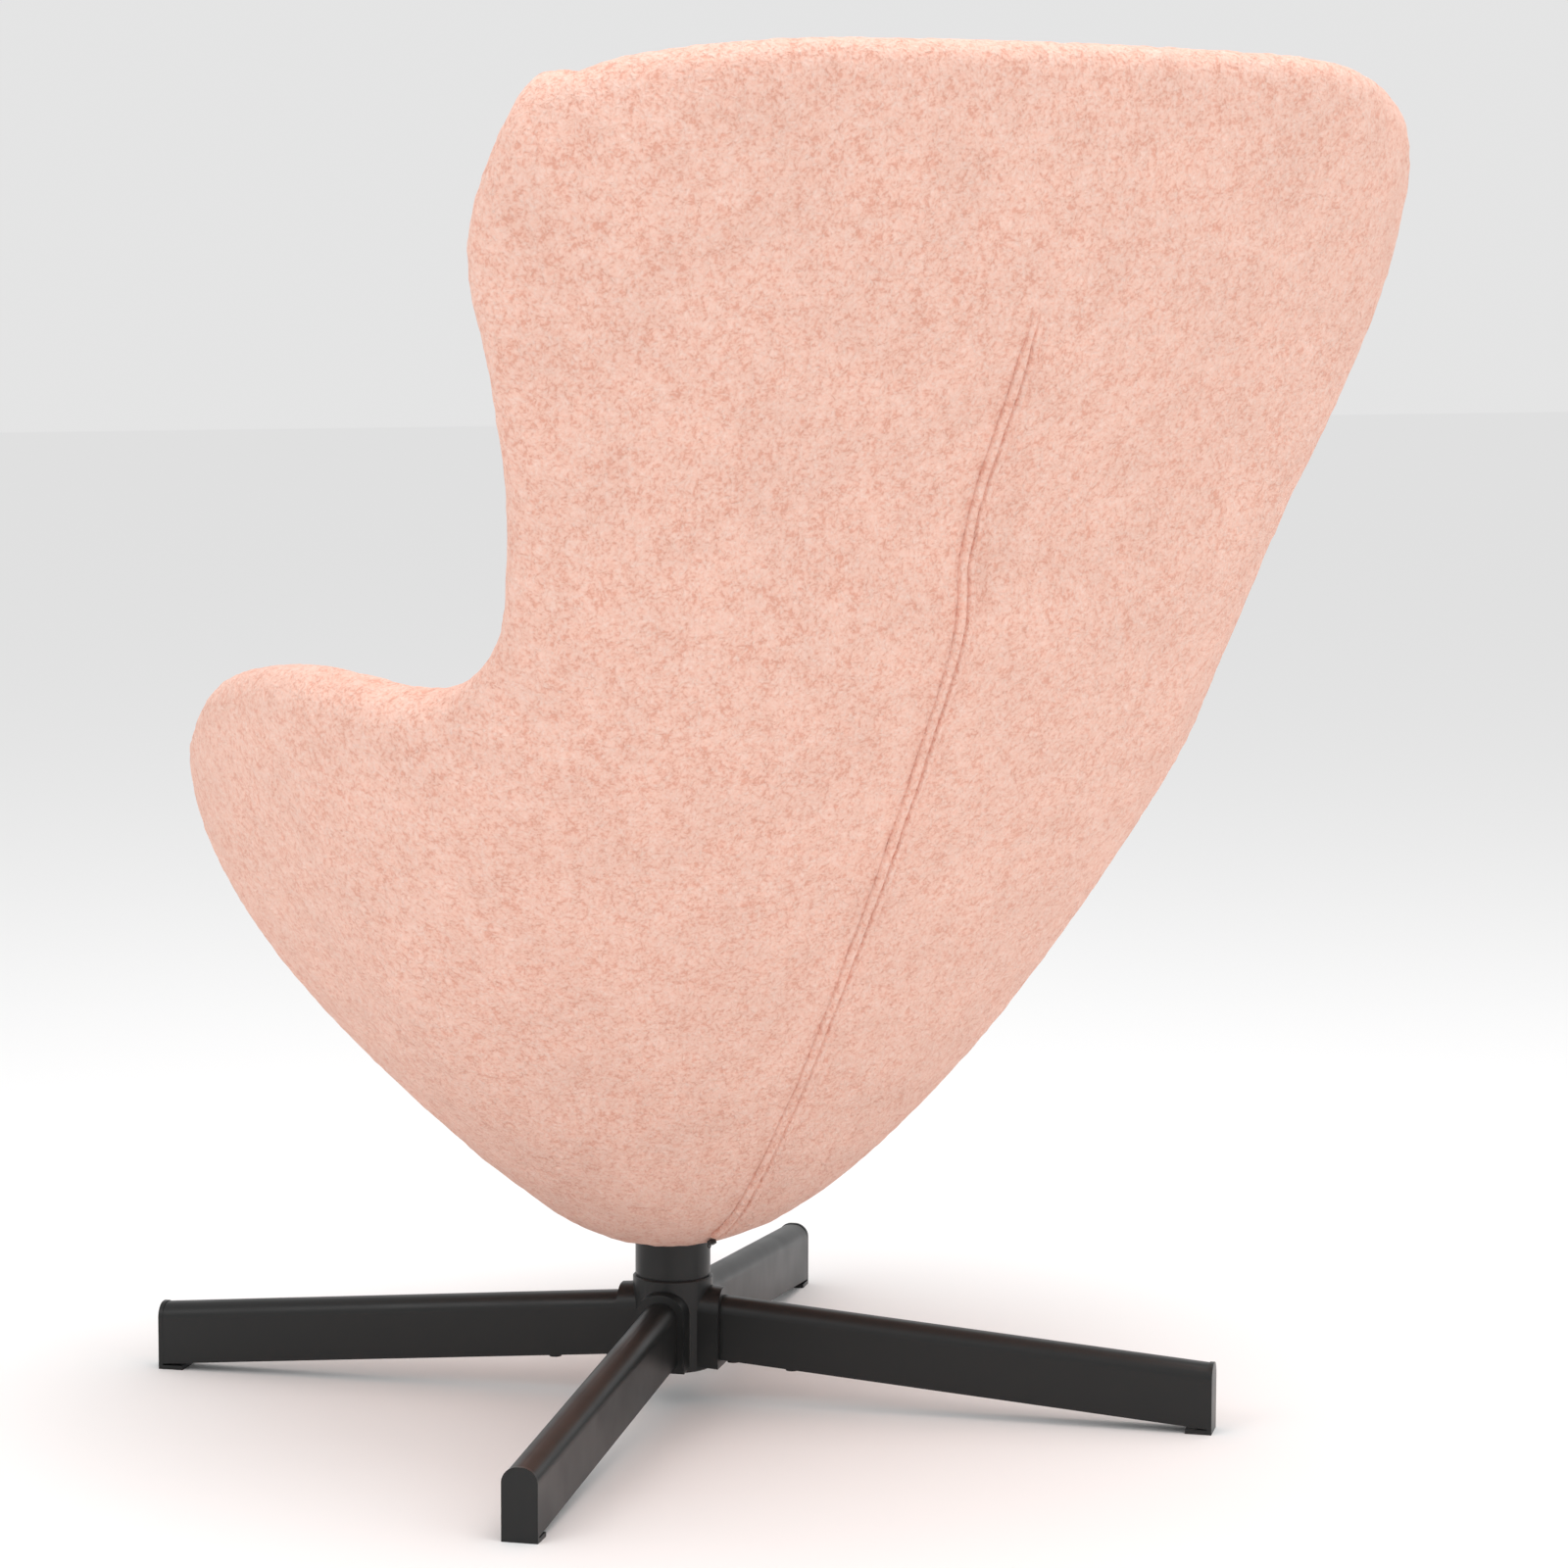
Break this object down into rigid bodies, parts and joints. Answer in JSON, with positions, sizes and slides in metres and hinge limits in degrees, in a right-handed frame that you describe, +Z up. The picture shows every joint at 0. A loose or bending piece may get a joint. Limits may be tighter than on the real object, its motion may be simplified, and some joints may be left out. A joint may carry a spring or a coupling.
{
  "type": "pod lounge chair",
  "caption": "High-backed upholstered pod lounge chair with a waisted shell that wraps round the sitter, swivelling on a low cross-shaped base.",
  "frame": {"origin": "floor point under the swivel axis, in the middle of the four feet", "axes": "+Z up; the sitter faces -Y, so the back is at +Y; +X is the chair's left-hand side"},
  "size_m": [0.7804, 0.8616, 1.0456],
  "materials": {
    "fabric": "peach pink looped teddy fabric, soft and matt",
    "base_metal": "satin near-black powder coat with crisp edges",
    "steel": "turned and zinc plated",
    "fastener_steel": "black oxide",
    "bearing_plastic": "black acetal",
    "moulded_shell": "moulded rigid shell, unfinished",
    "plywood": "raw birch plywood",
    "foam": "cut seat foam",
    "zip_metal": "black enamel"
  },
  "bodies": {
    "base": {"hub": "base_metal", "leg_rear_left": "base_metal", "leg_rear_right": "base_metal", "leg_front_right": "base_metal", "leg_front_left": "base_metal", "foot_cap_rear_left": "base_metal", "foot_cap_rear_right": "base_metal", "foot_cap_front_right": "base_metal", "foot_cap_front_left": "base_metal", "leg_screws": "fastener_steel", "spindle": "steel", "spindle_bolt_washer": "fastener_steel", "spindle_bolt": "fastener_steel", "hub_cap": "base_metal", "thrust_washer": "bearing_plastic", "retaining_washer": "steel", "retaining_ring": "steel"},
    "pod": {"lower_bush": "bearing_plastic", "upper_bush": "bearing_plastic", "swivel_sleeve": "base_metal", "seat_plate": "steel", "plate_bolts": "fastener_steel", "insert_nuts": "fastener_steel", "mounting_block": "plywood", "pod_shell": "moulded_shell", "outer_cover": "fabric", "front_edge_roll": "fabric", "crown_edge_roll": "fabric", "inner_padding": "fabric", "seat_foam": "foam", "seat_cushion": "fabric", "rear_seam": "fabric", "zip_slider": "zip_metal"}
  },
  "joints": [
    {"name": "pod_swivel", "type": "hinge", "parent": "base", "child": "pod", "pos_m": [0, 0, 0], "axis": [0, 0, 1], "continuous": true}
  ]
}
